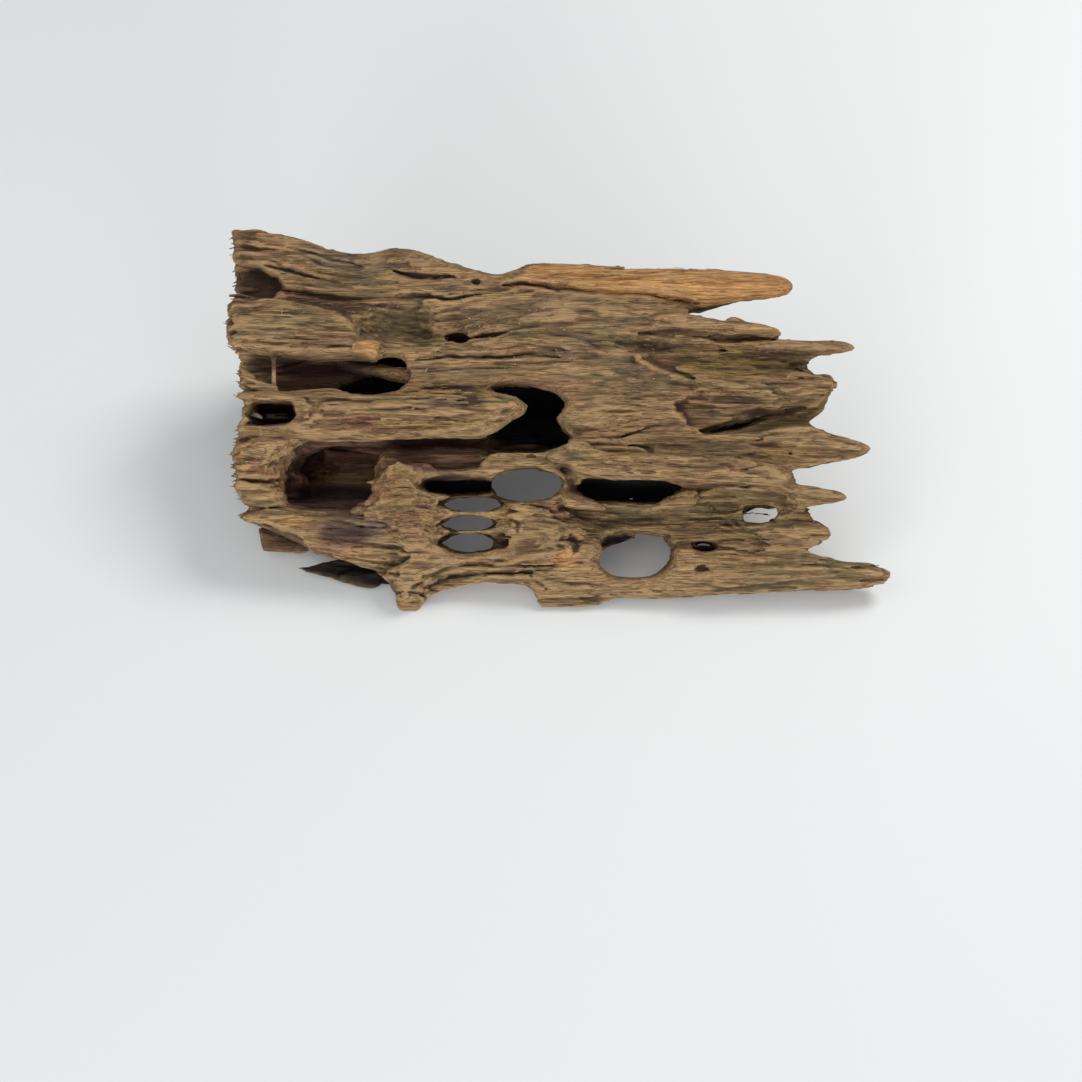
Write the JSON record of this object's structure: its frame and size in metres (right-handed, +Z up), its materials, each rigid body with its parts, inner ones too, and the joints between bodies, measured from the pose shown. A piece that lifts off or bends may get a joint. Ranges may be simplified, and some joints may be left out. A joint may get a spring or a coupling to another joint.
{
  "type": "aquarium driftwood",
  "caption": "Hollow, worm-eaten driftwood log end that leans on feet, with bore holes, tunnels and splintered prongs, as a hiding place in an aquarium.",
  "frame": {"origin": "centre of the bounding box, on the floor that the wood rests on", "axes": "+X along the grain towards the long splintered prongs, +Y towards the rear leg, +Z up"},
  "size_m": [0.2098, 0.109, 0.0683],
  "materials": {
    "weathered_wood": "weathered, rough and fibrous, grey-brown with dark grooves",
    "split_wood": "freshly split, matt orange-tan with fine grain"
  },
  "bodies": {
    "root": {"trunk": "weathered_wood", "rear_leg": "weathered_wood", "top_splinter": "split_wood", "upper_prong": "weathered_wood", "middle_prong": "weathered_wood", "lower_prong": "weathered_wood", "left_prong": "weathered_wood"}
  },
  "joints": []
}
